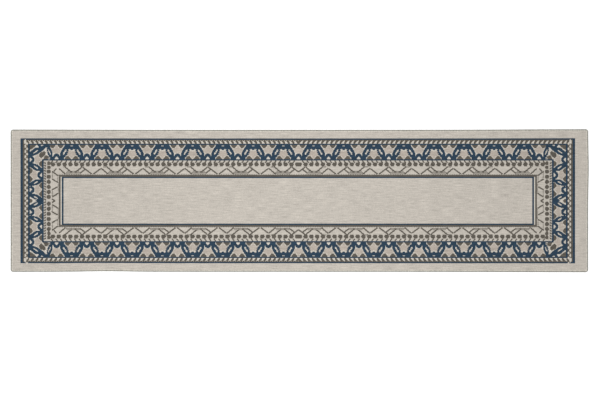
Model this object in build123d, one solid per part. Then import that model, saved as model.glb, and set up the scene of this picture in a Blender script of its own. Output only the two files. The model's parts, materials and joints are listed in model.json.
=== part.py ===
from build123d import *
import os

# Runner rug, millimetres. +X runs along its length, +Z is up, and the origin is the middle of its underside.

# driving dimensions
LENGTH = 2440.0
WIDTH = 600.0
CORNER_R = 10.0           # outer corner radius of the sewn edge
PICK_X = 2.45             # one stitch of the face weave along the length
PICK_Y = 2.745            # and across the width

COAT_T = 0.8              # back coat
CLOTH_TOP = 3.0           # top of the ground cloth's wefts and warps
FACE_TOP = 4.2            # top of the plain face weave
FIGURE_TOP = 4.8          # top of the coloured figure floats
EDGE_T = 5.0              # the overcast edge, the thickest place
SERGE_W = 8.5             # width of the overcast edge
SERGE_WALL = 0.8          # one layer of overcasting thread
CORD_R = 1.6              # filler cord inside the overcast edge
CLOTH_INSET = 4.3         # the cloth's cut edge, behind the cord

PATTERN_X = -3 * PICK_X   # the woven pattern sits a little towards one end
LEAF_REPEAT = 52 * PICK_X
LEAF_COUNT = 17           # arches along a long side, an odd number so that one is in the middle
ROPE_PITCH = 8 * PICK_X
GUARD_REPEAT = 72 * PICK_X

# each band's outer edge, in stitches from the pattern's middle (along X, along Y), from the outside inwards
BAND_PICKS = {
    "outer_blue_line": (478, 96),
    "outer_taupe_stripe": (474, 94),
    "rope_band_ground": (472, 93),
    "rope_blue_line": (465, 88),
    "leaf_border_ground": (462, 86),
    "leaf_blue_line": (441, 64),
    "guard_band_ground": (438, 62),
    "inner_taupe_line": (411, 41),
    "field_blue_line": (407, 37),
    "centre_field_weave": (404, 35),
}
BANDS = {name: (x * PICK_X, y * PICK_Y) for name, (x, y) in BAND_PICKS.items()}
EDGE_ROW_W = 2 * PICK_X   # the light row between the taupe and blue lines at each end of the field
FIGURE_BANDS = ("outer_blue_line", "outer_taupe_stripe", "rope_blue_line", "leaf_blue_line",
                "inner_taupe_line", "field_blue_line")
BAND_NAMES = list(BANDS)

LONG_BAND = BANDS["leaf_border_ground"][1] - BANDS["leaf_blue_line"][1]
END_BAND = BANDS["leaf_border_ground"][0] - BANDS["leaf_blue_line"][0]
FIGURE_T = FIGURE_TOP - FACE_TOP

# motifs of the leaf border: u runs along the border, w inwards across a band of MOTIF_W
MOTIF_W = 60.5
FOOT_IN, FOOT_OUT = 20.0, 48.0        # where a leaf meets the inner and the outer line
LEAF = [(12, 60.4), (15.5, 50), (15.5, 34), (19, 25), (27, 13), (31.5, 6), (34, 0.1), (55, 0.1), (53, 17),
        (48, 36), (40.5, 48), (29.5, 60.4)]
VEIN = [(24.5, 43.5), (25, 36.5), (38.5, 18.5), (43.5, 15), (42.5, 24), (34.5, 36.5), (28, 43.5)]
ARCH = [(-11.5, 60.4), (-15.2, 52), (-11, 42.5), (-5, 36.5), (5, 36.5), (11, 42.5), (15.2, 52), (11.5, 60.4)]
HEART = [(-9.5, 60.4), (0, 48.5), (9.5, 60.4)]
CAP = [(-8.5, 0.1), (-10.5, 8), (-9, 16), (-4, 20.7), (4, 20.7), (9, 16), (10.5, 8), (8.5, 0.1)]
LENS = [(-6.5, 2.0), (6.5, 2.0), (4.5, 6.0), (-4.5, 6.0)]
STAR = [(0, 0.3), (4, 7), (8, 13.5), (20, 17), (21.5, 19), (16.5, 26), (14.5, 31.5), (9, 36), (0, 34)]
POINT = [(6.5, 0.1), (30, 0.1), (26, 8), (20, 14), (15, 14), (9.5, 8)]


def place(points, mapping):
    return [mapping(u, w) for u, w in points]


def prism(points, hole=None):
    face = make_face(Polyline(*points, close=True))
    if hole:
        face -= make_face(Polyline(*hole, close=True))
    return extrude(Pos(0, 0, FACE_TOP) * face, amount=FIGURE_T, dir=(0, 0, 1))


def bar(p, q, width):
    """Points of a straight float from p to q."""
    along = (Vector(*q) - Vector(*p)).normalized()
    side = Vector(-along.Y, along.X) * (width / 2)
    return [(v.X, v.Y) for v in (Vector(*p) + side, Vector(*q) + side, Vector(*q) - side, Vector(*p) - side)]


def plate(half, z, t, radius=0.0):
    outline = Rectangle(2 * half[0], 2 * half[1])
    if radius:
        outline = fillet(outline.vertices(), radius)
    return extrude(Pos(0, 0, z) * outline, amount=t)


def long_map(centre, sign, flip=False):
    """Motif axes to the long border whose sign in Y is given, about the arch or cap at centre."""
    top = BANDS["leaf_border_ground"][1]

    def mapping(u, w):
        w = MOTIF_W - w if flip else w
        return (PATTERN_X + centre + u, sign * (top - w * LONG_BAND / MOTIF_W))
    return mapping


def end_map(centre, sign, flip=False):
    """Motif axes to the short border whose sign in X is given, about the arch at Y = centre."""
    top = BANDS["leaf_border_ground"][0]

    def mapping(u, w):
        w = MOTIF_W - w if flip else w
        return (PATTERN_X + sign * (top - w * END_BAND / MOTIF_W), centre + u)
    return mapping


def leaf(mapping, foot_in, foot_out):
    """A leaf from the inner line at foot_in to the outer line at foot_out, and its vein."""
    k = (foot_out - foot_in) / (FOOT_OUT - FOOT_IN)
    outline = [(foot_in + (u - FOOT_IN) * k, w) for u, w in LEAF]
    vein = [(foot_in + (u - FOOT_IN) * k, w) for u, w in VEIN]
    return (prism(place(outline, mapping), place(vein, mapping)), prism(place(vein, mapping)))


def mirrored(points):
    """The half outline and its reflection in u."""
    return points + [(-u, w) for u, w in reversed(points) if u > 0]


def both_signs(points):
    return (points, [(-u, w) for u, w in points])


groups = {}


def add(name, *solids):
    groups.setdefault(name, []).extend(solids)


# ground: coat, cloth and the plain face weave, band by band
inner = (LENGTH / 2 - SERGE_W, WIDTH / 2 - SERGE_W)
cut = (LENGTH / 2 - CLOTH_INSET, WIDTH / 2 - CLOTH_INSET)
add("back_coat", plate(inner, 0, COAT_T, CORNER_R - SERGE_W))
add("ground_cloth", plate(cut, COAT_T, CLOTH_TOP - COAT_T, CORNER_R - CLOTH_INSET))
face_t = FACE_TOP - CLOTH_TOP
first = Pos(PATTERN_X, 0, 0) * plate(BANDS[BAND_NAMES[0]], CLOTH_TOP, face_t)
add("margin_weave", plate(cut, CLOTH_TOP, face_t, CORNER_R - CLOTH_INSET) - first)
row_x = BANDS["field_blue_line"][0] + EDGE_ROW_W / 2
row_y = 2 * BANDS["field_blue_line"][1]
edge_row = extrude(Pos(0, 0, CLOTH_TOP) * Rectangle(EDGE_ROW_W, row_y), amount=face_t)
add("field_edge_row", *[Pos(PATTERN_X + end * row_x, 0, 0) * edge_row for end in (1, -1)])
for name, following in zip(BAND_NAMES, BAND_NAMES[1:] + [None]):
    thick = FIGURE_TOP - CLOTH_TOP if name in FIGURE_BANDS else face_t
    ring = plate(BANDS[name], CLOTH_TOP, thick)
    if following == "field_blue_line":
        ring -= plate((row_x + EDGE_ROW_W / 2, row_y / 2), CLOTH_TOP, thick)
    elif following:
        ring -= plate(BANDS[following], CLOTH_TOP, thick)
    add(name, Pos(PATTERN_X, 0, 0) * ring)


def add_arch(at_arch, arch_node, star_node, point_node):
    """An arch with its heart, the star above it and the two points beside the star."""
    add(arch_node, prism(place(ARCH, at_arch), place(HEART, at_arch)))
    add("arch_hearts", prism(place(HEART, at_arch)))
    add(star_node, prism(place(mirrored(STAR), at_arch)))
    for points in both_signs(POINT):
        add(point_node, prism(place(points, at_arch)))


# leaf border along the long sides
CORNER_FOOT = 39.0        # the leaf next to a corner stands more upright
for side in (1, -1):
    for k in range(LEAF_COUNT):
        step = k - LEAF_COUNT // 2
        centre = step * LEAF_REPEAT
        at_arch = long_map(centre, side)
        add_arch(at_arch, "arch_figure", "star_figure", "taupe_points_outer")
        for hand in (1, -1):
            near_corner = hand * step == LEAF_COUNT // 2
            body, vein = leaf(at_arch, hand * FOOT_IN, hand * (CORNER_FOOT if near_corner else FOOT_OUT))
            add("long_leaf_outlines", body)
            add("long_leaf_veins", vein)
        if k == LEAF_COUNT - 1:
            continue
        at_cap = long_map(centre + LEAF_REPEAT / 2, side)
        add("cap_figure", prism(place(CAP, at_cap), place(LENS, at_cap)))
        add("cap_lenses", prism(place(LENS, at_cap)))
        under_cap = long_map(centre + LEAF_REPEAT / 2, side, flip=True)
        add("star_figure", prism(place(mirrored(STAR), under_cap)))
        for points in both_signs(POINT):
            add("taupe_points_inner", prism(place(points, under_cap)))

# leaf border across the ends: outer arches, inner arches and the fork in the middle
OUTER_ARCHES, INNER_ARCH = (47.0, 174.0), 109.0
END_LEAVES = ((130, 154), (88, 67), (7.2, 27))        # (foot on the inner line, foot on the outer line)
END_NODES = ("end_arch_figure", "end_star_figure", "end_taupe_points")
FORK_TAIL = [(-10, 60.4), (-7.5, 52), (-7.5, 36), (0, 24), (7.5, 36), (7.5, 52), (10, 60.4)]
FORK_POINT = [(-6.5, 0.1), (6.5, 0.1), (4, 10), (0, 15), (-4, 10)]
for end in (1, -1):
    for side in (1, -1):
        for y in OUTER_ARCHES:
            add_arch(end_map(side * y, end, flip=True), *END_NODES)
        add_arch(end_map(side * INNER_ARCH, end), *END_NODES)
        for foot_in, foot_out in END_LEAVES:
            body, vein = leaf(end_map(0, end), side * foot_in, side * foot_out)
            add("end_leaf_outlines", body)
            add("end_leaf_veins", vein)
    add("end_leaf_outlines", prism(place(FORK_TAIL, end_map(0, end))))
    add("end_taupe_points", prism(place(FORK_POINT, end_map(0, end))))

# corners: v inwards from the short side, d inwards from the long side, both from the leaf border's edge
CORNER_LEAF = [(0.1, 45), (0.1, 31), (12, 22), (22, 14), (37, 12), (46, 9.5), (60, 0.1), (75, 0.1), (62, 13),
               (55, 20), (43, 29), (31, 37), (14, 44.5)]
CORNER_VEIN = [(12, 36.5), (21, 27), (33, 20.5), (40, 20), (32.5, 28.5), (22, 36), (15, 39)]
CORNER_PATCH = [(0.1, 0.1), (27, 0.1), (22, 8), (0.1, 23)]
CORNER_PATCHES_IN = ([(40, 48), (45, 33), (61, 28), (66, 32), (64, 38), (54, 50)],
                     [(59, 58), (65.5, 44), (75, 48), (82, 57), (72, 61)])
CORNER_CAP = [(34, 0.1), (43, 0.1), (50, 8), (45.5, 9.5), (38, 6)]
corner = BANDS["leaf_border_ground"]
for end in (1, -1):
    for side in (1, -1):
        def at_corner(v, d, end=end, side=side):
            return (PATTERN_X + end * (corner[0] - v), side * (corner[1] - d))
        add("corner_leaf_outlines", prism(place(CORNER_LEAF, at_corner), place(CORNER_VEIN, at_corner)))
        add("corner_leaf_veins", prism(place(CORNER_VEIN, at_corner)))
        add("corner_leaf_outlines", prism(place(CORNER_CAP, at_corner)))
        for patch in (CORNER_PATCH, *CORNER_PATCHES_IN):
            add("corner_taupe_patches", prism(place(patch, at_corner)))


def add_float(name, end, side, p, q, width):
    """A straight float from p to q, both measured from the pattern's middle in one quarter of the rug."""
    ends = [(PATTERN_X + end * x, side * y) for x, y in (p, q)]
    add(name, prism(bar(*ends, width)))


# rope band: slanting taupe floats on the long sides, a zigzag across the ends
ROPE_LEAN, ROPE_FLOAT, ROPE_PHASE, ROPE_GAP = 5.2, 5.8, 3.9, 0.3
rope_out, rope_in = BANDS["rope_band_ground"], BANDS["rope_blue_line"]
ZIG_HALF, ZIG_REACH, ZIG_FLOAT, ZIG_SHIFT, ZIG_GAP = 4 * PICK_Y, 3.7, 4.2, 1.2, 0.6
zig_x = (rope_out[0] + rope_in[0]) / 2 + ZIG_SHIFT
for side in (1, -1):
    for end in (1, -1):
        for k in range(int((rope_out[0] - ROPE_PHASE) / ROPE_PITCH) + 1):
            x = k * ROPE_PITCH + ROPE_PHASE
            add_float("rope_floats", end, side, (x + ROPE_LEAN, rope_out[1] - ROPE_GAP),
                      (x - ROPE_LEAN, rope_in[1] + ROPE_GAP), ROPE_FLOAT)
        for k in range(int(rope_in[1] / ZIG_HALF)):
            reach = -ZIG_REACH if k % 2 else ZIG_REACH
            add_float("end_rope_zigzag", end, side, (zig_x + reach, k * ZIG_HALF + ZIG_GAP),
                      (zig_x - reach, (k + 1) * ZIG_HALF - ZIG_GAP), ZIG_FLOAT)

# guard band: short dashes, a row of round spots and thin slanting lines
guard_out, guard_in = BANDS["guard_band_ground"], BANDS["inner_taupe_line"]
DASH_DEPTH, DASH_LEAN, DASH_RISE, DASH_FLOAT = 5.7, 4.0, 4.6, 5.0
END_DASH_PITCH, END_DASH_DEPTH = 4 * PICK_Y, 5.5
END_DASH_LEAN, END_DASH_RISE, END_DASH_FLOAT = 2.4, 3.2, 3.6
SPOT_PITCH, SPOT_START, SPOT_DEPTH = 10 * PICK_X, 5.4, 17.6
END_SPOT_PITCH, END_SPOT_START, END_SPOT_DEPTH = 21.4, 14.2, 21.0
SPOT_SHIFT_Y = 1.9        # the spots sit a little towards the back all round
SPOT = [(-9.2, -2.8), (-9.2, 2.8), (-5.5, 6.9), (5.5, 6.9),
        (9.2, 2.8), (9.2, -2.8), (5.5, -6.9), (-5.5, -6.9)]
END_SPOT = [(-7.5, -4), (-7.5, 4), (-3, 8), (3, 8), (7.5, 4), (7.5, -4), (3, -8), (-3, -8)]
CORNER_SPOTS = (139.5, 156.5)         # the last two across each end are smaller
CORNER_SPOT = [(0.8 * u, 0.8 * v) for u, v in END_SPOT]
GUARD_CLEAR = 12.0        # the dashes stop short of the corners
SPOT_CLEAR = 30.0


def add_spot(shape, x, y):
    add("guard_spots", prism([(PATTERN_X + x + u, y + v + SPOT_SHIFT_Y) for u, v in shape]))


for side in (1, -1):
    for end in (1, -1):
        for k in range(1, int((guard_out[0] - GUARD_CLEAR) / ROPE_PITCH)):
            x, y = k * ROPE_PITCH, guard_out[1] - DASH_DEPTH
            add_float("guard_dashes", end, side, (x - DASH_LEAN, y + DASH_RISE),
                      (x + DASH_LEAN, y - DASH_RISE), DASH_FLOAT)
        for k in range(int((guard_out[1] - GUARD_CLEAR) / END_DASH_PITCH)):
            x, y = guard_out[0] - END_DASH_DEPTH, (k + 0.5) * END_DASH_PITCH
            add_float("guard_dashes", end, side, (x + END_DASH_RISE, y + END_DASH_LEAN),
                      (x - END_DASH_RISE, y - END_DASH_LEAN), END_DASH_FLOAT)
        row_y = side * (guard_out[1] - SPOT_DEPTH)
        for k in range(1, int((guard_out[0] - SPOT_CLEAR) / SPOT_PITCH) + 1):
            add_spot(SPOT, end * (k * SPOT_PITCH + SPOT_START), row_y)
        column_x = end * (guard_out[0] - END_SPOT_DEPTH)
        for k in range(int((guard_out[1] - SPOT_CLEAR - END_SPOT_START) / END_SPOT_PITCH) + 1):
            add_spot(END_SPOT, column_x, side * (k * END_SPOT_PITCH + END_SPOT_START))
        for y in CORNER_SPOTS:
            add_spot(CORNER_SPOT, column_x, side * y)
    add_spot([(u + (SPOT_START if u > 0 else -SPOT_START), v) for u, v in SPOT], 0, row_y)

# slanting lines: along the side from each repeat's start, and inwards from the band's outer edge
THIN = 4.0
GUARD_LINES = [((-11.5, 57.5), (27, 28.2)), ((18.5, 38.8), (37.5, 52.7)), ((27.5, 25), (60, 51)),
               ((72.5, 50.2), (103.7, 26)), ((96, 57.5), (126, 32.2)), ((128.5, 34.2), (158.7, 57.5))]
GUARD_REPEATS, GUARD_END = 6, 990.0
# across the ends: inwards from the band's outer edge, and along Y from the middle
END_LINES = [((36.5, 16.5), (60, 31.3)), ((33, 44.6), (58, 59.4)), ((35, 91.9), (58, 78.6)),
             ((36.5, 7.4), (45, 1.2)), ((42, 125), (53.5, 137)), ((36, 124), (61, 106)),
             ((64, 137), (95, 109.5))]
for side in (1, -1):
    for end in (1, -1):
        for k in range(GUARD_REPEATS):
            for (u0, w0), (u1, w1) in GUARD_LINES:
                if k * GUARD_REPEAT + u1 > GUARD_END:
                    continue
                start = max(u0, 0) if k == 0 else u0
                w0 += (w1 - w0) * (start - u0) / (u1 - u0)
                add_float("guard_lines", end, side, (k * GUARD_REPEAT + start, guard_out[1] - w0),
                          (k * GUARD_REPEAT + u1, guard_out[1] - w1), THIN)
        for (w0, y0), (w1, y1) in END_LINES:
            add_float("end_guard_lines", end, side, (guard_out[0] - w0, y0), (guard_out[0] - w1, y1), THIN)

# overcast edge: a thread sleeve folded round the cloth's edge, with a filler cord inside it
r_out = EDGE_T / 2
r_in = r_out - SERGE_WALL
half_x, half_y = LENGTH / 2, WIDTH / 2


def sleeve_section(plane):
    """The sleeve's section, its closed side at the plane's origin, its mouth towards the plane's +X."""
    middle = Pos((SERGE_W + r_out) / 2, r_out)
    nose = Pos(r_out, r_out)
    outer = middle * Rectangle(SERGE_W - r_out, EDGE_T) + nose * Circle(r_out)
    bore = middle * Rectangle(SERGE_W - r_out + 1, 2 * r_in) + nose * Circle(r_in)
    return plane * (outer - bore)


def cord_section(plane):
    return plane * (Pos(r_out, r_out) * Circle(CORD_R))


def straight_run(section, side, along_x):
    if along_x:
        run = LENGTH - 2 * CORNER_R
        plane = Plane(origin=(-run / 2, side * half_y, 0), x_dir=(0, -side, 0), z_dir=(-side, 0, 0))
        return extrude(section(plane), amount=run, dir=(1, 0, 0))
    run = WIDTH - 2 * CORNER_R
    plane = Plane(origin=(side * half_x, -run / 2, 0), x_dir=(-side, 0, 0), z_dir=(0, side, 0))
    return extrude(section(plane), amount=run, dir=(0, 1, 0))


def corner_turn(section, end, side):
    """A quarter turn from the long side's end round to the short side."""
    cx, cy = end * (half_x - CORNER_R), side * (half_y - CORNER_R)
    plane = Plane(origin=(cx, side * half_y, 0), x_dir=(0, -side, 0), z_dir=(-side, 0, 0))
    return revolve(section(plane), Axis((cx, cy, 0), (0, 0, -end * side)), 90)


for piece, section in (("serging", sleeve_section), ("filler_cord", cord_section)):
    for where, side in (("back", 1), ("front", -1)):
        body = straight_run(section, side, True)
        for end in (1, -1):
            body += corner_turn(section, end, side)
        add(f"{piece}_{where}", body)
    for where, end in (("right", 1), ("left", -1)):
        add(f"{piece}_{where}", straight_run(section, end, False))

os.makedirs("parts", exist_ok=True)
for name, solids in groups.items():
    loose = [solid for shape in solids for solid in shape.solids()]
    whole = solids[0] if len(solids) == 1 else Compound(children=loose)
    export_step(whole, f"parts/{name}.step")
    print(name, len(solids))
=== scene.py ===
import json
import math

import bpy
import numpy as np
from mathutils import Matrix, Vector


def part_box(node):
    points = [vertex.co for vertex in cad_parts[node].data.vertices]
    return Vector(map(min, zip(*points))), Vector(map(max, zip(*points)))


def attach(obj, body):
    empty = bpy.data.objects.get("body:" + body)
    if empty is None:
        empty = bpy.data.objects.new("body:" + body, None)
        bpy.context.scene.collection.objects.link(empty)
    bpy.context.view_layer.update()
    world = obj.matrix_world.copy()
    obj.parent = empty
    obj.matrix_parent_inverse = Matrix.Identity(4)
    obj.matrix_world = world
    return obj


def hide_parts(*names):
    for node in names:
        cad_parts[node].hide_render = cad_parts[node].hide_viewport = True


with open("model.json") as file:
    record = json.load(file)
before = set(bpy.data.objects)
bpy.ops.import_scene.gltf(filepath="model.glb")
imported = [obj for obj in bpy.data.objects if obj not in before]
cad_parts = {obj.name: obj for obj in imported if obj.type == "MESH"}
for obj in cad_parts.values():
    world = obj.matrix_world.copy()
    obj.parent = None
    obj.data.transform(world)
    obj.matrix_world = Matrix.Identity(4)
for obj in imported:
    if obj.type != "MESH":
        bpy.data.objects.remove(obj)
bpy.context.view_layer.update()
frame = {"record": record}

mm = 0.001
scene = bpy.context.scene
slotOf = {part["node"]: part["material_slot"] for part in frame["record"]["subparts"]}


# camera and light

studio = {
    "height": 8.0,           # m, far enough that the rug is seen square on
    "rugShare": 0.9624,      # share of the frame's width that the rug's length takes
    "aimX": 0.0020,
    "aimY": -0.0007,
    "worldLevel": 0.935,
    "keyPower": 34.3,
    "keyPlace": (-0.22, -0.15, 2.2),
    "keySize": (2.4, 2.0),
    "floorLevel": 0.95,
    "floorReach": 9.0,
    "floorZ": -0.2 * mm,
}
rugLow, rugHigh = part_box("serging_front")
camera = bpy.data.cameras.new("camera")
camera.sensor_width = 36
camera.lens = camera.sensor_width * studio["height"] * studio["rugShare"] / (rugHigh.x - rugLow.x)
cameraObject = bpy.data.objects.new("camera", camera)
cameraObject.location = (studio["aimX"], studio["aimY"], studio["height"])
scene.collection.objects.link(cameraObject)
scene.camera = cameraObject
scene.view_settings.view_transform = "Standard"

world = bpy.data.worlds.new("studio")
scene.world = world
world.use_nodes = True
background = world.node_tree.nodes["Background"]
background.inputs["Color"].default_value = (1, 1, 1, 1)
background.inputs["Strength"].default_value = studio["worldLevel"]

keyLight = bpy.data.lights.new("softKey", "AREA")
keyLight.shape = "RECTANGLE"
keyLight.size, keyLight.size_y = studio["keySize"]
keyLight.energy = studio["keyPower"]
keyObject = bpy.data.objects.new("softKey", keyLight)
keyObject.location = studio["keyPlace"]
keyObject.rotation_euler = (-keyObject.location).to_track_quat("-Z", "Y").to_euler()
scene.collection.objects.link(keyObject)
print("studio ready")


# small helpers for node trees

def nodeMaterial(name):
    material = bpy.data.materials.new(name)
    material.use_nodes = True
    return material, material.node_tree, material.node_tree.nodes["Principled BSDF"]


def addNode(tree, kind, **values):
    node = tree.nodes.new(kind)
    for key, value in values.items():
        if key in node.inputs:
            node.inputs[key].default_value = value
        else:
            setattr(node, key, value)
    return node


def feed(tree, socket, value):
    if isinstance(value, (int, float, tuple)):
        socket.default_value = value
    else:
        tree.links.new(value, socket)


def mathNode(tree, operation, first, second=None):
    node = tree.nodes.new("ShaderNodeMath")
    node.operation = operation
    feed(tree, node.inputs[0], first)
    if second is not None:
        feed(tree, node.inputs[1], second)
    return node.outputs[0]


def vectorNode(tree, operation, first, second=None, scale=None, output=0):
    node = tree.nodes.new("ShaderNodeVectorMath")
    node.operation = operation
    feed(tree, node.inputs[0], first)
    if second is not None:
        feed(tree, node.inputs[1], second)
    if scale is not None:
        feed(tree, node.inputs["Scale"], scale)
    return node.outputs[output]


def total(tree, *terms):
    result = terms[0]
    for term in terms[1:]:
        result = mathNode(tree, "ADD", result, term)
    return result


def around(tree, value, amount):  # a 0 to 1 value as a swing of amount about zero
    return mathNode(tree, "MULTIPLY", mathNode(tree, "SUBTRACT", value, 0.5), amount)


# yarn

yarnLook = {
    "stitchTone": 0.19,      # how much one stitch differs from the next
    "weftTone": 0.27,        # streaks along a row of stitches
    "warpTone": 0.05,        # and along a column
    "patchTone": 0.05,       # slow change of shade across the cloth
    "fibreTone": 0.16,
    "paintedHollowShade": 0.45,      # painted shade in the hollows between the stitches
    "bump": 0.30 * mm,
    "weftScale": (0.05, 1.0, 0.0),   # patterns by the stitch, along the rug and across it
    "warpScale": (1.0, 0.05, 0.0),
    "patchScale": 0.025,
    "fibreScale": (1.6, 9.0, 0.0),
    "roughness": 0.88,
    "gloss": 0.2,
    "sheen": 0.06,
}


def yarnMaterial(name, colour, tone=1.0):
    material, tree, shader = nodeMaterial(name)
    place = addNode(tree, "ShaderNodeUVMap", uv_map="weave").outputs[0]
    split = addNode(tree, "ShaderNodeSeparateXYZ")
    tree.links.new(place, split.inputs[0])
    column, row = split.outputs[0], split.outputs[1]
    stitch = addNode(tree, "ShaderNodeTexWhiteNoise", noise_dimensions="2D")
    tree.links.new(vectorNode(tree, "FLOOR", place), stitch.inputs["Vector"])
    streaks = []
    for scale in (yarnLook["weftScale"], yarnLook["warpScale"]):
        stretched = vectorNode(tree, "MULTIPLY", place, scale)
        streak = addNode(tree, "ShaderNodeTexNoise", noise_dimensions="2D", Scale=1.0, Detail=1.0)
        tree.links.new(stretched, streak.inputs["Vector"])
        streaks.append(streak.outputs[0])
    patch = addNode(tree, "ShaderNodeTexNoise", noise_dimensions="2D", Detail=2.0)
    patch.inputs["Scale"].default_value = yarnLook["patchScale"]
    tree.links.new(place, patch.inputs["Vector"])
    fibre = addNode(tree, "ShaderNodeTexNoise", noise_dimensions="2D", Scale=1.0, Detail=2.0)
    tree.links.new(vectorNode(tree, "MULTIPLY", place, yarnLook["fibreScale"]), fibre.inputs["Vector"])
    arches = [mathNode(tree, "ABSOLUTE", mathNode(tree, "SINE", mathNode(tree, "MULTIPLY", axis, math.pi)))
              for axis in (column, row)]
    crown = mathNode(tree, "MULTIPLY", *arches)
    # painted shade: the colour darkens towards each stitch's edges, in the hollows between stitches
    hollowShade = mathNode(tree, "POWER", mathNode(tree, "SUBTRACT", 1.0, crown), 3.0)
    level = total(tree, around(tree, stitch.outputs[0], yarnLook["stitchTone"] * tone),
                  around(tree, streaks[0], yarnLook["weftTone"] * tone * 2),
                  around(tree, streaks[1], yarnLook["warpTone"] * tone * 2),
                  around(tree, patch.outputs[0], yarnLook["patchTone"] * 2),
                  around(tree, fibre.outputs[0], yarnLook["fibreTone"]),
                  mathNode(tree, "MULTIPLY", hollowShade, -yarnLook["paintedHollowShade"]),
                  1.0 + yarnLook["paintedHollowShade"] * 0.3)   # makes up for the painted shade in the hollows
    tree.links.new(vectorNode(tree, "SCALE", colour, scale=level), shader.inputs["Base Color"])
    shader.inputs["Roughness"].default_value = yarnLook["roughness"]
    shader.inputs["Specular IOR Level"].default_value = yarnLook["gloss"]
    shader.inputs["Sheen Weight"].default_value = yarnLook["sheen"]
    height = mathNode(tree, "ADD", crown, mathNode(tree, "MULTIPLY", fibre.outputs[0], 0.5))
    bump = addNode(tree, "ShaderNodeBump", Strength=0.6, Distance=yarnLook["bump"])
    tree.links.new(height, bump.inputs["Height"])
    tree.links.new(bump.outputs[0], shader.inputs["Normal"])
    return material


yarnColours = {  # colour and how uneven its shade is
    "beige_yarn": ((0.407, 0.375, 0.333), 1.0),
    "cream_yarn": ((0.465, 0.432, 0.380), 0.8),
    "pale_grey_yarn": ((0.405, 0.375, 0.332), 0.9),
    "star_yarn": ((0.345, 0.303, 0.262), 1.0),
    "blue_yarn": ((0.0150, 0.0350, 0.0590), 1.6),
    "taupe_yarn": ((0.080, 0.071, 0.058), 1.3),
    "ground_cloth": ((0.42, 0.33, 0.21), 1.0),
    "latex_back": ((0.60, 0.56, 0.47), 0.3),
}
yarns = {name: yarnMaterial(name, *look) for name, look in yarnColours.items()}
print("yarns ready")


# the chart: one cell for each stitch, holding the yarn area it belongs to

chartSize = {
    "pickX": 2.45,           # mm between stitches along the rug
    "pickY": 2.745,
    "halfColumns": 496,
    "halfRows": 108,
    "patternPick": -3,       # the pattern's middle, in stitches from the rug's
    "rugCorner": 10.0,       # mm, radius of the rug's corners
    "cornerRadius": 6.6,     # and of the face cloth's, inside the sewn edge
}
pickX, pickY = chartSize["pickX"], chartSize["pickY"]
columns, rows = 2 * chartSize["halfColumns"], 2 * chartSize["halfRows"]
cellX = (np.arange(columns) + 0.5 - chartSize["halfColumns"] - chartSize["patternPick"]) * pickX
cellY = (np.arange(rows) + 0.5 - chartSize["halfRows"]) * pickY
chart = np.zeros((rows, columns), np.int16)
areaNames = ["margin_weave"]


def areaCode(node):
    if node not in areaNames:
        areaNames.append(node)
    return areaNames.index(node)


bandPicks = {  # outer edge of each band in stitches from the pattern's middle, along and across
    "outer_blue_line": (478, 96),
    "outer_taupe_stripe": (474, 94),
    "rope_band_ground": (472, 93),
    "rope_blue_line": (465, 88),
    "leaf_border_ground": (462, 86),
    "leaf_blue_line": (441, 64),
    "guard_band_ground": (438, 62),
    "inner_taupe_line": (412, 41),
    "field_edge_row": (409, 37),
    "field_blue_line": (407, 37),
    "centre_field_weave": (404, 35),
}
bands = {node: (x * pickX, y * pickY) for node, (x, y) in bandPicks.items()}
for node, (halfX, halfY) in bands.items():
    chart[np.ix_(np.abs(cellY) < halfY, np.abs(cellX) < halfX)] = areaCode(node)


def fillShape(node, points):  # every stitch whose middle is inside the outline
    outline = np.array(points)
    firstX, lastX = np.searchsorted(cellX, (outline[:, 0].min(), outline[:, 0].max()))
    firstY, lastY = np.searchsorted(cellY, (outline[:, 1].min(), outline[:, 1].max()))
    if firstX == lastX or firstY == lastY:
        return
    x, y = np.meshgrid(cellX[firstX:lastX], cellY[firstY:lastY])
    inside = np.zeros(x.shape, bool)
    for (ax, ay), (bx, by) in zip(outline, np.roll(outline, -1, 0)):
        if ay != by:
            inside ^= ((ay > y) != (by > y)) & (x < (bx - ax) * (y - ay) / (by - ay) + ax)
    chart[firstY:lastY, firstX:lastX][inside] = areaCode(node)


def bar(p, q, width):
    p, q = np.array(p), np.array(q)
    along = (q - p) / np.linalg.norm(q - p)
    side = np.array((-along[1], along[0])) * width / 2
    return [p + side, q + side, q - side, p - side]


quarters = [(end, side) for side in (1, -1) for end in (1, -1)]


def drawBar(node, quarter, first, last, width):   # quarter: which end and side of the rug, as signs
    fillShape(node, bar(*[(quarter[0] * x, quarter[1] * y) for x, y in (first, last)], width))


def mirrored(points):
    return points + [(-u, w) for u, w in reversed(points) if u > 0]


# leaf border: u runs along the border, w inwards across a band of motifWidth, both in mm
leafBorder = {
    "motifWidth": 60.5,
    "repeat": 52 * pickX,
    "arches": 17,
    "footIn": 20.0,          # where a leaf meets the inner line
    "footOut": 48.0,
    "cornerFoot": 39.0,      # the leaf next to a corner stands more upright
    "outerArches": (47.0, 174.0),
    "innerArch": 109.0,
    "endLeaves": ((130, 154, 0), (88, 67, 0), (7.2, 27, 4)),   # foot in, foot out, shift of the vein
    "veinShare": 0.88,
    "slimVein": 0.6,         # a slimmer leaf's vein gets smaller, down to this share of it
    "notchRows": 3,          # a leaf's outer edge steps in once in so many rows
    "fleckStitches": 7,      # and a blue stitch comes through its vein once in so many
}
leafShape = [(12, 60.4), (15.5, 50), (15.5, 34), (19, 25), (27, 13), (31.5, 6), (34, 0), (55, 0), (53, 17),
             (48, 36), (40.5, 48), (29.5, 60.4)]
veinShape = [(24.5, 43.5), (25, 36.5), (38.5, 18.5), (43.5, 15), (42.5, 24), (34.5, 36.5), (28, 43.5)]
archShape = mirrored([(5, 36.5), (11.5, 42.5), (17, 52), (14, 60.5)])
heartShape = [(-9.5, 60.5), (0, 48.5), (9.5, 60.5)]
capShape = mirrored([(11, 0), (10, 8), (9, 16), (4, 20.7)])
lensShape = mirrored([(7, 1.5), (4.5, 6.0)])
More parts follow.
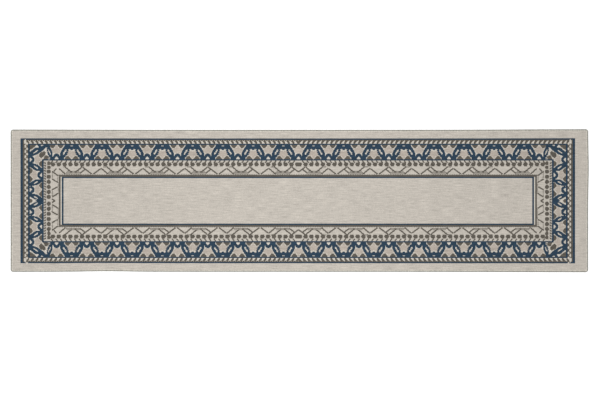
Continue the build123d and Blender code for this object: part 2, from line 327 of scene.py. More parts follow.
starShape = mirrored([(0, 0.3), (4, 7), (8, 13.5), (20, 17), (21.5, 19), (16.5, 26), (14.5, 31.5), (9, 36),
                      (0, 34)])
pointShape = [(3.5, 0), (31, 0), (27, 8), (21, 14.5), (15, 14.5), (8, 8)]
innerPointShape = [(2, 0), (31, 0), (27, 8), (20, 14.5), (14, 14.5), (7, 8)]
forkTail = mirrored([(0, 25), (5, 36), (5, 52), (9, 60.5)])
forkPoint = mirrored([(9, 0), (6.5, 10), (0, 17)])
leafOutX, leafOutY = bands["leaf_border_ground"]
leafInX, leafInY = bands["leaf_blue_line"]


def longSide(centre, side, flip=False):
    def place(u, w):
        w = leafBorder["motifWidth"] - w if flip else w
        return centre + u, side * (leafOutY - w * (leafOutY - leafInY) / leafBorder["motifWidth"])
    return place


def endSide(centre, end, flip=False):
    def place(u, w):
        w = leafBorder["motifWidth"] - w if flip else w
        return end * (leafOutX - w * (leafOutX - leafInX) / leafBorder["motifWidth"]), centre + u
    return place


def drawMotif(node, shape, place, turn=1):
    fillShape(node, [place(u * turn, w) for u, w in shape])


def shrunk(points, share):
    middle = np.mean(points, 0)
    return [tuple(middle + (np.array(point) - middle) * share) for point in points]


def drawLeaf(outlineNode, veinNode, place, footIn, footOut, veinShift=0.0):
    stretch = (footOut - footIn) / (leafBorder["footOut"] - leafBorder["footIn"])
    slim = leafBorder["slimVein"]
    veinShare = leafBorder["veinShare"] * min(1.0, slim + (1.0 - slim) * abs(stretch))
    vein = shrunk(veinShape, veinShare)
    for node, shape, shift in ((outlineNode, leafShape, 0.0), (veinNode, vein, veinShift)):
        fillShape(node, [place(footIn + (u - shift - leafBorder["footIn"]) * stretch, w) for u, w in shape])


longArch = ("arch_figure", "star_figure", "taupe_points_outer")
endArch = ("end_arch_figure", "end_star_figure", "end_taupe_points")


def drawArch(place, archNode, starNode, pointNode):
    drawMotif(starNode, starShape, place)
    for hand in (1, -1):
        drawMotif(pointNode, pointShape, place, hand)
    drawMotif(archNode, archShape, place)
    drawMotif("arch_hearts", heartShape, place)


lastArch = leafBorder["arches"] // 2
for side in (1, -1):
    for step in range(-lastArch, lastArch + 1):
        atArch = longSide(step * leafBorder["repeat"], side)
        drawArch(atArch, *longArch)
        if step < lastArch:
            underCap = longSide((step + 0.5) * leafBorder["repeat"], side, True)
            drawMotif("star_figure", starShape, underCap)
            for hand in (1, -1):
                drawMotif("taupe_points_inner", innerPointShape, underCap, hand)
        for hand in (1, -1):
            footOut = leafBorder["cornerFoot" if hand * step == lastArch else "footOut"]
            drawLeaf("long_leaf_outlines", "long_leaf_veins", atArch,
                     hand * leafBorder["footIn"], hand * footOut)
    for step in range(-lastArch, lastArch):
        atCap = longSide((step + 0.5) * leafBorder["repeat"], side)
        drawMotif("cap_figure", capShape, atCap)
        drawMotif("cap_lenses", lensShape, atCap)

for end in (1, -1):
    across = endSide(0, end)
    for side in (1, -1):
        for y in leafBorder["outerArches"]:
            drawArch(endSide(side * y, end, True), *endArch)
        drawArch(endSide(side * leafBorder["innerArch"], end), *endArch)
    drawMotif("end_leaf_outlines", forkTail, across)
    drawMotif("end_taupe_points", forkPoint, across)
    for side in (1, -1):
        for footIn, footOut, veinShift in leafBorder["endLeaves"]:
            drawLeaf("end_leaf_outlines", "end_leaf_veins", across, side * footIn, side * footOut, veinShift)

chartX, chartY = np.meshgrid(cellX, cellY)
fromMiddleX, fromMiddleY = np.abs(chartX), np.abs(chartY)
cellColumn, cellRow = np.meshgrid(np.arange(columns), np.arange(rows))
leafCode = areaCode("long_leaf_outlines")
fromArch = (chartX + leafBorder["repeat"] / 2) % leafBorder["repeat"] - leafBorder["repeat"] / 2
outward = np.where(fromArch > 0, np.roll(chart, -1, 1), np.roll(chart, 1, 1))
notch = (chart == leafCode) & (outward != leafCode) & (outward != areaCode("long_leaf_veins"))
notch &= (fromMiddleY // pickY) % leafBorder["notchRows"] == 0
chart[notch] = outward[notch]
fleckPlaces = (cellColumn + 2 * cellRow) % leafBorder["fleckStitches"] == 0
chart[(chart == areaCode("long_leaf_veins")) & fleckPlaces] = leafCode

# corners: v inwards from the end, d inwards from the long side, in mm
cornerShapes = [
    ("corner_leaf_outlines", [(0, 47), (0, 29), (12, 20), (22, 12), (37, 9.5), (46, 7), (58, 0), (77, 0),
                              (64, 14), (57, 22), (45, 31), (33, 39), (14, 47)]),
    ("corner_leaf_veins", [(14, 35.5), (22, 28), (32, 22.5), (36, 22.5), (30, 28.5), (22, 33.5),
                           (16, 36.5)]),
    ("corner_leaf_outlines", [(32, 0), (45, 0), (52, 8), (46, 11), (36, 7)]),
    ("corner_taupe_patches", [(0, 0), (27, 0), (22, 8), (0, 23)]),
    ("corner_taupe_patches", [(38, 50), (43, 33), (60, 26), (68, 31), (66, 40), (54, 52)]),
    ("corner_taupe_patches", [(57, 60.4), (64, 43), (76, 46), (84, 57), (72, 60.4)]),
]
for end, side in quarters:
    for node, shape in cornerShapes:
        fillShape(node, [(end * (leafOutX - v), side * (leafOutY - d)) for v, d in shape])

# rope band: slanting floats on the long sides, two staggered rows of ovals on the ends, in mm
ropeBand = {
    "pitch": 8 * pickX,
    "start": 3.9,
    "lean": 5.2,             # half the slant of a float
    "float": 8.4,            # its width
    "gap": 0.3,
    "ovalPitch": 8 * pickY,
    "ovals": ((5.2, 3.7, 7.6, 0.5), (13.2, 3.4, 7.0, 0.0)),   # depth, half sizes and start along the band
    "ovalPoints": 12,
}
ropeOutX, ropeOutY = bands["rope_band_ground"]
ropeInX, ropeInY = bands["rope_blue_line"]
for quarter in quarters:
    for k in range(int((ropeOutX - ropeBand["start"]) / ropeBand["pitch"]) + 1):
        x = k * ropeBand["pitch"] + ropeBand["start"]
        drawBar("rope_floats", quarter, (x + ropeBand["lean"], ropeOutY - ropeBand["gap"]),
                (x - ropeBand["lean"], ropeInY + ropeBand["gap"]), ropeBand["float"])
turns = [math.tau * i / ropeBand["ovalPoints"] for i in range(ropeBand["ovalPoints"])]
oval = [(math.cos(turn), math.sin(turn)) for turn in turns]
ovalReach = int(ropeInY / ropeBand["ovalPitch"])
for end in (1, -1):
    fillShape("end_rope_zigzag", [(end * ropeOutX, -ropeInY), (end * ropeOutX, ropeInY),
                                  (end * ropeInX, ropeInY), (end * ropeInX, -ropeInY)])
    for depth, wide, tall, offset in ropeBand["ovals"]:
        for k in range(-ovalReach - 1, ovalReach + 1):
            x, y = end * (ropeOutX - depth), (k + offset) * ropeBand["ovalPitch"]
            fillShape("rope_band_ground", [(x + wide * u, y + tall * v) for u, v in oval])

# guard band: dashes, round spots and thin slanting lines, in mm
guard = {
    "repeat": 72 * pickX,
    "repeats": 6,
    "lineEnd": 990.0,        # the lines stop here, before the corner
    "thin": 5.8,             # width of a line
    "dot": 0.9 * pickY,
    "dotPitch": 2 * pickY,
    "dashDepth": 5.7,        # from the band's outer edge
    "dashLean": 4.0,
    "dashRise": 4.6,
    "dashFloat": 6.0,
    "endDashPitch": 4 * pickY,
    "endDashDepth": 5.5,
    "endDashLean": 3.0,
    "endDashRise": 4.4,
    "endDashFloat": 5.8,
    "dashClear": 4.0,        # left free at the corners
    "spotPitch": 10 * pickX,
    "spotStart": 5.4,
    "spotDepth": 17.6,
    "spotClear": 30.0,       # left free at the corners
    "endSpotPitch": 21.4,
    "endSpotStart": 14.2,
    "endSpotDepth": 21.0,
    "cornerSpots": (139.5, 156.5),
    "cornerSpotSize": 0.9,   # of an end spot
    "spotShift": 1.9,        # the spots sit a little towards the back all round
}
hatch = {
    "from": 33.0,            # mm along a repeat
    "to": 102.0,
    "top": 43.0,             # mm into the band
    "bottom": 58.5,
    "slope": 0.6,
    "pitch": 4,              # stitches from one crossing thread to the next
    "thread": 2,
}
spotShape = mirrored([(5.5, -8.2), (9.2, -2.9), (9.2, 2.9), (5.5, 8.2)])
endSpotShape = mirrored([(3.5, -9), (8.2, -4.5), (8.2, 4.5), (3.5, 9)])
guardLines = [((-11.5, 57.5), (27, 28.2)), ((18.5, 38.8), (37.5, 52.7)), ((27.5, 25), (60, 51)),
              ((72.5, 50.2), (103.7, 26)), ((96, 57.5), (126, 32.2)), ((128.5, 34.2), (158.7, 57.5))]
endLines = [((36.5, 16.5), (60, 31.3)), ((33, 44.6), (58, 59.4)), ((35, 91.9), (58, 78.6)),
            ((34, 7.8), (48, 0.5)), ((42, 125), (53.5, 137)), ((36, 124), (61, 106)),
            ((64, 137), (95, 109.5))]
checks = [(21, 33, 19, 28), (102, 117, 22, 31)]   # where lines meet under the spots: u from, to, w from, to
dottedRows = [(36, 16, 44), (61, 31, 78), (36, 91, 124), (60, 78, 106)]   # depth, from, to
guardOutX, guardOutY = bands["guard_band_ground"]
guardInX, guardInY = bands["inner_taupe_line"]
guardGround, lineCode = areaCode("guard_band_ground"), areaCode("guard_lines")
guardDepth = guardOutY - fromMiddleY
hasLines = fromMiddleX < guard["lineEnd"]
alongRepeats = [fromMiddleX - k * guard["repeat"] for k in range(guard["repeats"])]


def drawSpot(shape, x, y):
    fillShape("guard_spots", [(x + u, y + v + guard["spotShift"]) for u, v in shape])


def drawGuardLines(quarter):
    for k in range(guard["repeats"]):
        start = k * guard["repeat"]
        for (u0, w0), (u1, w1) in guardLines:
            if start + u1 > guard["lineEnd"]:
                continue
            first = max(u0, 0) if k == 0 else u0   # nothing crosses the middle
            w0 += (w1 - w0) * (first - u0) / (u1 - u0)
            drawBar("guard_lines", quarter, (start + first, guardOutY - w0), (start + u1, guardOutY - w1),
                    guard["thin"])


def drawEndLines(quarter):
    for (w0, y0), (w1, y1) in endLines:
        drawBar("end_guard_lines", quarter, (guardOutX - w0, y0), (guardOutX - w1, y1), guard["thin"])
    for depth, first, last in dottedRows:
        x = guardOutX - depth
        for y in np.arange(first, last, guard["dotPitch"]):
            drawBar("end_guard_lines", quarter, (x, y), (x, y + guard["dot"]), 2 * pickX)


def drawDashes(quarter):
    lean, rise = guard["dashLean"], guard["dashRise"]
    y = guardOutY - guard["dashDepth"]
    for k in range(1, int((guardOutX - guard["dashClear"]) / ropeBand["pitch"])):
        x = k * ropeBand["pitch"]
        drawBar("guard_dashes", quarter, (x - lean, y + rise), (x + lean, y - rise), guard["dashFloat"])
    lean, rise = guard["endDashLean"], guard["endDashRise"]
    x = guardOutX - guard["endDashDepth"]
    for k in range(int((guardOutY - guard["dashClear"]) / guard["endDashPitch"])):
        y = (k + 0.5) * guard["endDashPitch"]
        drawBar("guard_dashes", quarter, (x + rise, y + lean), (x - rise, y - lean), guard["endDashFloat"])


def drawSpots(quarter):
    end, side = quarter
    spotRow, endSpotRow = side * (guardOutY - guard["spotDepth"]), end * (guardOutX - guard["endSpotDepth"])
    for k in range(1, int((guardOutX - guard["spotClear"]) / guard["spotPitch"]) + 1):
        drawSpot(spotShape, end * (k * guard["spotPitch"] + guard["spotStart"]), spotRow)
    for k in range(int((guardOutY - guard["spotClear"] - guard["endSpotStart"]) / guard["endSpotPitch"]) + 1):
        drawSpot(endSpotShape, endSpotRow, side * (k * guard["endSpotPitch"] + guard["endSpotStart"]))
    for y in guard["cornerSpots"]:
        drawSpot(shrunk(endSpotShape, guard["cornerSpotSize"]), endSpotRow, side * y)
    wideSpot = [(u + math.copysign(guard["spotStart"], u), v) for u, v in spotShape]
    drawSpot(wideSpot, 0, spotRow)   # at the middle of the side


threads = [(cellColumn + lean * cellRow) % hatch["pitch"] < hatch["thread"] for lean in (1, -1)]
rise = (hatch["bottom"] - guardDepth) * hatch["slope"]
for u in alongRepeats:   # crossed hatching at the foot of every repeat
    area = (u > hatch["from"] + rise) & (u < hatch["to"] - rise) & hasLines & (chart == guardGround)
    area &= (guardDepth > hatch["top"]) & (guardDepth < hatch["bottom"])
    chart[area & (threads[0] ^ threads[1])] = lineCode

for quarter in quarters:
    drawGuardLines(quarter)
    drawEndLines(quarter)
    drawDashes(quarter)
    drawSpots(quarter)

chequer = np.where((cellColumn + cellRow) % 2, guardGround, lineCode)
for u in alongRepeats:
    for firstU, lastU, firstW, lastW in checks:
        area = (u > firstU) & (u < lastU) & (guardDepth > firstW) & (guardDepth < lastW) & hasLines
        area &= (chart == guardGround) | (chart == lineCode)
        chart[area] = chequer[area]

# the taupe stripe's inner row and the inner taupe line's outer row of stitches are broken
brokenRows = [  # outer side, end, repeat in stitches, and the yarn area that takes all but one of them
    (ropeOutY, ropeInX, 4, "outer_taupe_stripe"),
    (guardInY, guardInX, 3, "guard_band_ground"),
]
for outerY, endX, gap, node in brokenRows:
    onRow = (fromMiddleY > outerY - pickY) & (fromMiddleY < outerY) & (fromMiddleX < endX)
    chart[onRow & (cellColumn % gap != 0)] = areaCode(node)

# the face stops at the rounded corners under the sewn edge
overX = np.abs(chartX + chartSize["patternPick"] * pickX) - (rugHigh.x / mm - chartSize["rugCorner"])
overY = fromMiddleY - (-rugLow.y / mm - chartSize["rugCorner"])
chart[(overX > 0) & (overY > 0) & (np.hypot(overX, overY) > chartSize["cornerRadius"])] = -1
print("charted", len(areaNames), "yarn areas,", chart.size, "stitches")


# geometry nodes shared by all pieces: how the rug lies on the floor

lie = {
    "middleShift": 3.05 * mm,   # the pattern drifts along between its two ends
    "driftLength": 1.17,        # m
}
lieBumps = {  # centre, reach and shift in metres
    "backRight": ((1.20, 0.300), (0.35, 0.036), (0.0, 2.4 * mm)),
    "backLeft": ((-1.20, 0.300), (0.35, 0.036), (0.0, 1.0 * mm)),
    "frontRight": ((1.20, -0.300), (0.40, 0.040), (0.0, -1.3 * mm)),
    "frontPinch": ((-0.816, -0.300), (0.13, 0.041), (0.0, 2.5 * mm)),
    "rightBulge": ((1.220, 0.140), (0.030, 0.10), (2.8 * mm, 0.0)),
    "rightEnd": ((1.220, 0.0), (0.035, 0.8), (-1.3 * mm, 0.0)),
    "leftEnd": ((-1.220, 0.0), (0.035, 0.8), (0.1 * mm, 0.0)),
}


def socketId(tree, name):
    inputs = [item for item in tree.interface.items_tree if item.in_out == "INPUT"]
    return next(item.identifier for item in inputs if item.name == name)


def newTree(name, inputs):
    tree = bpy.data.node_groups.new(name, "GeometryNodeTree")
    tree.interface.new_socket("Geometry", in_out="INPUT", socket_type="NodeSocketGeometry")
    for label, value in inputs.items():
        kind = "Int" if isinstance(value, int) else "Float"
        socket = tree.interface.new_socket(label, in_out="INPUT", socket_type="NodeSocket" + kind)
        socket.default_value = value
    for label, kind in (("Middle Shift", "Float"), ("Material", "Material")):
        tree.interface.new_socket(label, in_out="INPUT", socket_type="NodeSocket" + kind)
    tree.interface.new_socket("Geometry", in_out="OUTPUT", socket_type="NodeSocketGeometry")
    return tree, tree.nodes.new("NodeGroupInput").outputs, tree.nodes.new("NodeGroupOutput")


def lieOffset(tree, given):
    position = tree.nodes.new("GeometryNodeInputPosition").outputs[0]
    split = tree.nodes.new("ShaderNodeSeparateXYZ")
    tree.links.new(position, split.inputs[0])
    share = mathNode(tree, "DIVIDE", mathNode(tree, "ABSOLUTE", split.outputs[0]), lie["driftLength"])
    drift = tree.nodes.new("ShaderNodeCombineXYZ")
    tree.links.new(mathNode(tree, "MULTIPLY", mathNode(tree, "SUBTRACT", 1.0, share), given["Middle Shift"]),
                   drift.inputs[0])
    offset = drift.outputs[0]
    for centre, reach, shift in lieBumps.values():
        away = vectorNode(tree, "SUBTRACT", position, (*centre, 0.0))
        away = vectorNode(tree, "MULTIPLY", away, (1 / reach[0], 1 / reach[1], 0.0))
        squared = vectorNode(tree, "DOT_PRODUCT", away, away, output=1)
        near = mathNode(tree, "EXPONENT", mathNode(tree, "MULTIPLY", squared, -1.0))
        offset = vectorNode(tree, "ADD", offset, vectorNode(tree, "SCALE", (*shift, 0.0), scale=near))
    return offset


def finishTree(tree, given, result, geometry):
    realize = tree.nodes.new("GeometryNodeRealizeInstances")
    tree.links.new(geometry, realize.inputs[0])
    move = tree.nodes.new("GeometryNodeSetPosition")
    tree.links.new(realize.outputs[0], move.inputs["Geometry"])
    tree.links.new(lieOffset(tree, given), move.inputs["Offset"])
    paint = tree.nodes.new("GeometryNodeSetMaterial")
    tree.links.new(move.outputs[0], paint.inputs["Geometry"])
    tree.links.new(given["Material"], paint.inputs["Material"])
    tree.links.new(paint.outputs[0], result.inputs[0])


def bakeNodes(name, source, tree, material):  # runs a tree on an object and keeps the result as a plain mesh
    modifier = source.modifiers.new("nodes", "NODES")
    modifier.node_group = tree
    modifier[socketId(tree, "Middle Shift")] = lie["middleShift"]
    modifier[socketId(tree, "Material")] = material
    graph = bpy.context.evaluated_depsgraph_get()
    mesh = bpy.data.meshes.new_from_object(source.evaluated_get(graph))
    piece = bpy.data.objects.new(name, mesh)
    scene.collection.objects.link(piece)
    oldMesh = source.data
    bpy.data.objects.remove(source)
    bpy.data.meshes.remove(oldMesh)
    mesh.name = name
    mesh.shade_smooth()
    return piece


def randomFloat(tree, low, high, seed):
    node = tree.nodes.new("FunctionNodeRandomValue")
    node.data_type = "FLOAT"
    node.inputs[2].default_value = low
    node.inputs[3].default_value = high
    feed(tree, node.inputs["Seed"], seed)
    return node.outputs[1]


weaveRelief = {
    "Relief": 0.28 * mm,     # how far a stitch's crest stands up
    "Unevenness": 0.45,
    "Seed": 4,
}


def wovenTree():  # each stitch's crest stands up by its own amount
    tree, given, result = newTree("wovenRelief", weaveRelief)
    crest = tree.nodes.new("GeometryNodeInputNamedAttribute")
    crest.data_type = "FLOAT"
    crest.inputs["Name"].default_value = "crest"
    swing = mathNode(tree, "ADD", mathNode(tree, "MULTIPLY", randomFloat(tree, -1.0, 1.0, given["Seed"]),
                                           given["Unevenness"]), 1.0)
    height = mathNode(tree, "MULTIPLY", mathNode(tree, "MULTIPLY", crest.outputs[0], swing), given["Relief"])
    up = tree.nodes.new("ShaderNodeCombineXYZ")
    tree.links.new(height, up.inputs[2])
    raised = tree.nodes.new("GeometryNodeSetPosition")
    tree.links.new(given["Geometry"], raised.inputs["Geometry"])
    tree.links.new(up.outputs[0], raised.inputs["Offset"])
    finishTree(tree, given, result, raised.outputs[0])
    return tree


def meshObject(name, vertices, faces, places=None, crest=None):
    mesh = bpy.data.meshes.new(name)
    mesh.from_pydata(vertices, [], faces)
    if places is not None:
        layer = mesh.uv_layers.new(name="weave")
        corners = np.empty(len(mesh.loops), np.int32)
        mesh.loops.foreach_get("vertex_index", corners)
        layer.data.foreach_set("uv", np.asarray(places, np.float32)[corners].ravel())
    if crest is not None:
        heights = mesh.attributes.new("crest", "FLOAT", "POINT")
        heights.data.foreach_set("value", np.asarray(crest, np.float32))
    source = bpy.data.objects.new(name, mesh)
    scene.collection.objects.link(source)
    return source


def keep(piece, *nodes):
    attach(piece, "root")
    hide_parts(*nodes)


# the woven face, one piece for each yarn area

face = {
    "level": 4.32 * mm,
    "figureLift": 0.26 * mm,
}
woven = wovenTree()
plainNodes = {"margin_weave", "rope_band_ground", "leaf_border_ground", "guard_band_ground", "field_edge_row",
              "centre_field_weave"}
isFigure = np.pad(~np.isin(chart, [areaNames.index(node) for node in plainNodes]), 1)
insideFigure = isFigure[:-1, :-1] & isFigure[1:, :-1] & isFigure[:-1, 1:] & isFigure[1:, 1:]
lift = insideFigure * face["figureLift"]
latticeX = (np.arange(columns + 1) - chartSize["halfColumns"]) * pickX * mm
latticeY = (np.arange(rows + 1) - chartSize["halfRows"]) * pickY * mm


def weavePiece(name, node, mask):
    row, column = np.nonzero(mask)
    corner = row * (columns + 1) + column
    quads = np.stack([corner, corner + 1, corner + columns + 2, corner + columns + 1], 1)
    used, quads = np.unique(quads, return_inverse=True)
    quads = quads.reshape(len(row), 4)
    usedRow, usedColumn = used // (columns + 1), used % (columns + 1)
    low = np.stack([latticeX[usedColumn], latticeY[usedRow], face["level"] + lift[usedRow, usedColumn]], 1)
    middle = low[quads].mean(1)
    middle[:, 2] = np.maximum(middle[:, 2], low[quads][:, :, 2].max(1))
    vertices = np.concatenate([low, middle])
    places = np.concatenate([np.stack([usedColumn, usedRow], 1), np.stack([column, row], 1) + 0.5])
    tip = len(used) + np.arange(len(row))
    fans = np.concatenate([np.stack([quads[:, i], quads[:, (i + 1) % 4], tip], 1) for i in range(4)])
    crest = np.concatenate([np.zeros(len(used)), np.ones(len(row))])
    piece = bakeNodes(name, meshObject(name, vertices, fans, places, crest), woven, yarns[slotOf[node]])
    keep(piece, node)
    print(name, len(row), "stitches")


for index, node in enumerate(areaNames):
    mask = chart == index
    if not mask.any():
        print("no stitches for", node)
    elif node == "centre_field_weave":   # two lengths keep each piece's mesh small
        for hand, half in (("left", cellX < 0), ("right", cellX >= 0)):
            weavePiece(f"field_weave_{hand}", node, mask & half)
    else:
        weavePiece(node + "_yarn", node, mask)


# ground cloth and back coat: closed slabs with their own relief

def slab(name, node, size):
    halfX, halfY = (h - size["inset"] for h in halfRug)
    countX, countY = size["cells"]
    x, y = np.meshgrid(np.linspace(-halfX, halfX, countX + 1), np.linspace(-halfY, halfY, countY + 1))
    for cornerRow in (0, -1):
        for cornerColumn in (0, -1):
            x[cornerRow, cornerColumn] -= math.copysign(size["cornerIn"], x[cornerRow, cornerColumn])
            y[cornerRow, cornerColumn] -= math.copysign(size["cornerIn"], y[cornerRow, cornerColumn])
    column, row = np.meshgrid(np.arange(countX + 1), np.arange(countY + 1))
    inner = (column > 0) & (column < countX) & (row > 0) & (row < countY)
    wave = ((column + row) % 2) * inner
    top = np.stack([x, y, np.full_like(x, size["high"])], -1).reshape(-1, 3)
    under = np.stack([x, y, np.full_like(x, size["low"])], -1).reshape(-1, 3)
    index = np.arange(x.size).reshape(x.shape)
    quads = np.stack([index[:-1, :-1], index[:-1, 1:], index[1:, 1:], index[1:, :-1]], -1).reshape(-1, 4)
    rim = np.concatenate([index[0, :-1], index[:-1, -1], index[-1, :0:-1], index[:0:-1, 0]])
    nextRim = np.roll(rim, -1)
    walls = np.stack([rim + x.size, nextRim + x.size, nextRim, rim], 1)
    faces = np.concatenate([quads, quads[:, ::-1] + x.size, walls])
    places = np.stack([column, row], -1).reshape(-1, 2)
    crest = np.concatenate([-size["topRelief"] * wave.ravel(), size["underRelief"] * wave.ravel()])
    source = meshObject(name, np.concatenate([top, under]), faces, np.concatenate([places, places]), crest)
    piece = bakeNodes(name, source, woven, yarns[slotOf[node]])
    keep(piece, node)
    return piece


halfRug = (rugHigh.x, -rugLow.y)
clothSize = {
    "inset": 4.3 * mm,       # from the rug's outline
    "low": 0.8 * mm,
    "high": 3.0 * mm,
    "cornerIn": 1.71 * mm,   # how far its corner points are drawn in
    "cells": (331, 72),
    "topRelief": 0.8,        # shares of the face's relief
    "underRelief": 0.8,
}
coatSize = {
    "inset": 8.5 * mm,
    "low": 0.0,
    "high": 0.8 * mm,
    "cornerIn": 0.45 * mm,
    "cells": (330, 71),
    "topRelief": 0.4,
    "underRelief": 0.9,
}
groundCloth = slab("ground_cloth_hessian", "ground_cloth", clothSize)
backCoat = slab("back_coat_latex", "back_coat", coatSize)
print("cloth and coat ready")


# overcast edge: one stitch of thread repeated round the rug

edge = {
    "pitch": 3.05 * mm,
    "halfWidth": 1.62 * mm,
    "halfThick": 0.45 * mm,
    "slant": 0.7 * mm,
    "radius": chartSize["rugCorner"] * mm,
    "turn": 0.07,            # radians that a stitch may stand askew
    "seed": 9,
    "sides": 5,              # of the thread's section
    "strands": 2,            # ridges along the thread, seen on its upper half
    "cornerPoints": 9,
    "endPoints": 60,
}
stitchPath = [(8.7, 3.5), (7.4, 4.32), (4.4, 4.50), (1.7, 3.95), (0.52, 2.5), (1.7, 1.0), (4.4, 0.52),
              (8.2, 0.52)]   # in and up, mm


def roundPath(inset, where):  # the outline of one side, with its quarter turns on the two long ones
    halfX, halfY = halfRug
    r, straight = edge["radius"], edge["radius"] - inset
    if where in ("front", "back"):
        sign = 1 if where == "front" else -1
        turn = np.linspace(math.pi, 1.5 * math.pi, edge["cornerPoints"])
        first = np.stack([-halfX + r + straight * np.cos(turn), -halfY + r + straight * np.sin(turn)], 1)
        last = np.stack([halfX - r - straight * np.cos(turn), -halfY + r + straight * np.sin(turn)], 1)[::-1]
        return np.concatenate([first, last]) * sign
    sign = 1 if where == "right" else -1
    y = np.linspace(-halfY + r, halfY - r, edge["endPoints"])
    return np.stack([np.full_like(y, halfX - inset), y], 1) * sign


def pathObject(name, points, z):
    mesh = bpy.data.meshes.new(name)
    mesh.from_pydata([(x, y, z) for x, y in points], [(i, i + 1) for i in range(len(points) - 1)], [])
    source = bpy.data.objects.new(name, mesh)
    scene.collection.objects.link(source)
    return source


def stitchObject():
    sides = edge["sides"]
    path = np.array([(0, y, z) for y, z in stitchPath]) * mm
    path[:, 0] = edge["slant"] * np.cos(np.linspace(0, math.tau, len(path)))
    along = np.gradient(path, axis=0)
    along /= np.linalg.norm(along, axis=1)[:, None]
    wide = np.array((1.0, 0, 0))
    deep = np.cross(along, wide)
    deep /= np.linalg.norm(deep, axis=1)[:, None]
    vertices, places = [], []
    for step, (point, normal) in enumerate(zip(path, deep)):
        for i in range(sides):
            turn = math.tau * i / sides + math.pi / 2
            across, up = edge["halfWidth"] * math.cos(turn), edge["halfThick"] * math.sin(turn)
            vertices.append(point + wide * across + normal * up)
            places.append((step / (len(path) - 1), i / sides))
    faces = []
    for ring in range(0, (len(path) - 1) * sides, sides):
        for i in range(sides):
            following = (i + 1) % sides
            faces.append((ring + i, ring + following, ring + sides + following, ring + sides + i))
    last = (len(path) - 1) * sides
    faces += [tuple(range(sides))[::-1], tuple(range(last, last + sides))]
    return meshObject("oneStitch", vertices, faces, places)


def overcastTree(stitch):
    sizes = {label: edge[label.lower()] for label in ("Pitch", "Turn", "Seed")}
    tree, given, result = newTree("overcastEdge", sizes)
    curve = tree.nodes.new("GeometryNodeMeshToCurve")
    tree.links.new(given["Geometry"], curve.inputs[0])
    spaced = tree.nodes.new("GeometryNodeCurveToPoints")
    spaced.mode = "LENGTH"
    tree.links.new(curve.outputs[0], spaced.inputs["Curve"])
    tree.links.new(given["Pitch"], spaced.inputs["Length"])
    facing = tree.nodes.new("FunctionNodeAlignRotationToVector")
    facing.axis, facing.pivot_axis = "X", "Z"
    tree.links.new(spaced.outputs["Tangent"], facing.inputs["Vector"])
    one = tree.nodes.new("GeometryNodeObjectInfo")
    one.inputs["Object"].default_value = stitch
    copies = tree.nodes.new("GeometryNodeInstanceOnPoints")
    tree.links.new(spaced.outputs["Points"], copies.inputs["Points"])
    tree.links.new(one.outputs["Geometry"], copies.inputs["Instance"])
    tree.links.new(facing.outputs[0], copies.inputs["Rotation"])
    turned = tree.nodes.new("GeometryNodeRotateInstances")
    tree.links.new(copies.outputs[0], turned.inputs["Instances"])
    spin = tree.nodes.new("ShaderNodeCombineXYZ")
    swing = randomFloat(tree, -1.0, 1.0, given["Seed"])
    tree.links.new(mathNode(tree, "MULTIPLY", swing, given["Turn"]), spin.inputs[2])
    tree.links.new(spin.outputs[0], turned.inputs["Rotation"])
    shade = tree.nodes.new("GeometryNodeStoreNamedAttribute")
    shade.data_type, shade.domain = "FLOAT", "INSTANCE"
    shade.inputs["Name"].default_value = "shade"
    tree.links.new(turned.outputs[0], shade.inputs["Geometry"])
    tree.links.new(randomFloat(tree, 0.0, 1.0, given["Seed"]), shade.inputs["Value"])
    finishTree(tree, given, result, shade.outputs[0])
    return tree


threadLook = {
    "side": (0.235, 0.228, 0.195),     # painted shade where the thread turns down over the edge
    "crown": (0.520, 0.490, 0.430),
    "turnsDown": (0.22, 0.33),         # where along the stitch the crown colour turns into the painted side shade
    "unevenness": 0.16,
    # painted shade in the grooves between the thread's strands
    "strandGrooveShade": 0.12,
    "baseTone": 0.94,
    "roughness": 0.8,
    "bump": 0.25 * mm,
}


def threadMaterial():
    material, tree, shader = nodeMaterial("edge_thread")
    split = addNode(tree, "ShaderNodeSeparateXYZ")
    tree.links.new(addNode(tree, "ShaderNodeUVMap", uv_map="weave").outputs[0], split.inputs[0])
    # painted shade: the thread darkens from its crown to where it turns down over the edge
    over = addNode(tree, "ShaderNodeMapRange", interpolation_type="SMOOTHSTEP")
    tree.links.new(split.outputs[0], over.inputs["Value"])
    over.inputs["From Min"].default_value, over.inputs["From Max"].default_value = threadLook["turnsDown"]
    mix = addNode(tree, "ShaderNodeMix", data_type="RGBA")
    tree.links.new(over.outputs[0], mix.inputs[0])
    mix.inputs[6].default_value = (*threadLook["crown"], 1)
    mix.inputs[7].default_value = (*threadLook["side"], 1)
    shade = addNode(tree, "ShaderNodeAttribute", attribute_name="shade")
    # the strands make the bump and, as painted shade, darken the colour in their grooves
    turn = mathNode(tree, "MULTIPLY", split.outputs[1], math.tau * edge["strands"])
    strands = mathNode(tree, "ABSOLUTE", mathNode(tree, "SINE", turn))
    level = total(tree, around(tree, shade.outputs["Fac"], threadLook["unevenness"] * 2),
                  mathNode(tree, "MULTIPLY", strands, threadLook["strandGrooveShade"]), threadLook["baseTone"])
    tree.links.new(vectorNode(tree, "SCALE", mix.outputs[2], scale=level), shader.inputs["Base Color"])
    shader.inputs["Roughness"].default_value = threadLook["roughness"]
    bump = addNode(tree, "ShaderNodeBump", Strength=0.5, Distance=threadLook["bump"])
    tree.links.new(strands, bump.inputs["Height"])
    tree.links.new(bump.outputs[0], shader.inputs["Normal"])
    return material


stitch = stitchObject()
overcast = overcastTree(stitch)
edgeThread = threadMaterial()
for where in ("front", "right", "back", "left"):
    source = pathObject("serging_" + where + "_path", roundPath(0.0, where), 0.0)
    keep(bakeNodes("overcasting_" + where, source, overcast, edgeThread), "serging_" + where)
stitchMesh = stitch.data
bpy.data.objects.remove(stitch)
bpy.data.meshes.remove(stitchMesh)
print("edge overcast")


# filler cords: three strands laid together, inside the overcast edge

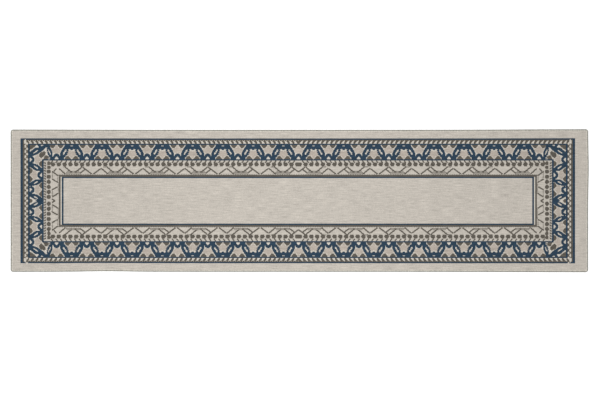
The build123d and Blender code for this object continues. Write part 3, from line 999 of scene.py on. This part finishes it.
cord = {
    "radius": 1.5 * mm,
    "inset": 2.5 * mm,
    "height": 2.5 * mm,
    "step": 4.0 * mm,
    "twist": 420.0,          # radians a metre
    "lobe": 0.14,
    "sides": 12,
    "colour": (0.58, 0.54, 0.46),
    "tone": 0.4,
    "fuzz": 900.0,
}


def cordTree():
    sizes = {label: cord[label.lower()] for label in ("Radius", "Step", "Twist", "Lobe")}
    tree, given, result = newTree("laidCord", sizes)
    curve = tree.nodes.new("GeometryNodeMeshToCurve")
    tree.links.new(given["Geometry"], curve.inputs[0])
    spaced = tree.nodes.new("GeometryNodeResampleCurve")
    spaced.mode = "LENGTH"
    tree.links.new(curve.outputs[0], spaced.inputs["Curve"])
    tree.links.new(given["Step"], spaced.inputs["Length"])
    tilt = tree.nodes.new("GeometryNodeSetCurveTilt")
    tree.links.new(spaced.outputs[0], tilt.inputs["Curve"])
    runLength = tree.nodes.new("GeometryNodeSplineParameter").outputs["Length"]
    tree.links.new(mathNode(tree, "MULTIPLY", runLength, given["Twist"]), tilt.inputs["Tilt"])
    ring = tree.nodes.new("GeometryNodeCurvePrimitiveCircle")
    ring.inputs["Resolution"].default_value = cord["sides"]
    tree.links.new(given["Radius"], ring.inputs["Radius"])
    number = tree.nodes.new("GeometryNodeInputIndex").outputs[0]
    phase = mathNode(tree, "MULTIPLY", number, math.pi / 2)   # three lobes in twelve points
    swell = mathNode(tree, "MULTIPLY", mathNode(tree, "COSINE", phase), given["Lobe"])
    position = tree.nodes.new("GeometryNodeInputPosition").outputs[0]
    lobed = tree.nodes.new("GeometryNodeSetPosition")
    tree.links.new(ring.outputs[0], lobed.inputs["Geometry"])
    tree.links.new(vectorNode(tree, "SCALE", position, scale=swell), lobed.inputs["Offset"])
    swept = tree.nodes.new("GeometryNodeCurveToMesh")
    tree.links.new(tilt.outputs[0], swept.inputs["Curve"])
    tree.links.new(lobed.outputs[0], swept.inputs["Profile Curve"])
    swept.inputs["Fill Caps"].default_value = True
    finishTree(tree, given, result, swept.outputs[0])
    return tree


cotton, cottonTree, cottonShader = nodeMaterial("cord_cotton")
cottonPlace = addNode(cottonTree, "ShaderNodeTexCoord").outputs["Object"]
cottonNoise = addNode(cottonTree, "ShaderNodeTexNoise", Scale=cord["fuzz"], Detail=2.0)
cottonTree.links.new(cottonPlace, cottonNoise.inputs["Vector"])
cottonLevel = total(cottonTree, around(cottonTree, cottonNoise.outputs[0], cord["tone"]), 1.0)
cottonTree.links.new(vectorNode(cottonTree, "SCALE", cord["colour"], scale=cottonLevel),
                     cottonShader.inputs["Base Color"])
cottonShader.inputs["Roughness"].default_value = 0.9
laid = cordTree()
for where in ("front", "right", "back", "left"):
    source = pathObject("cord_" + where + "_path", roundPath(cord["inset"], where), cord["height"])
    keep(bakeNodes("filler_cord_" + where + "_laid", source, laid, cotton), "filler_cord_" + where)
print("cords laid")


# floor

floorMaterial, _, floorShader = nodeMaterial("floor")
floorShader.inputs["Base Color"].default_value = (studio["floorLevel"],) * 3 + (1,)
floorShader.inputs["Roughness"].default_value = 0.9
floorCorners = [(x * studio["floorReach"], y * studio["floorReach"], studio["floorZ"])
                for x, y in ((-1, -1), (1, -1), (1, 1), (-1, 1))]
floor = meshObject("floor", floorCorners, [(0, 1, 2, 3)])
floor.data.materials.append(floorMaterial)
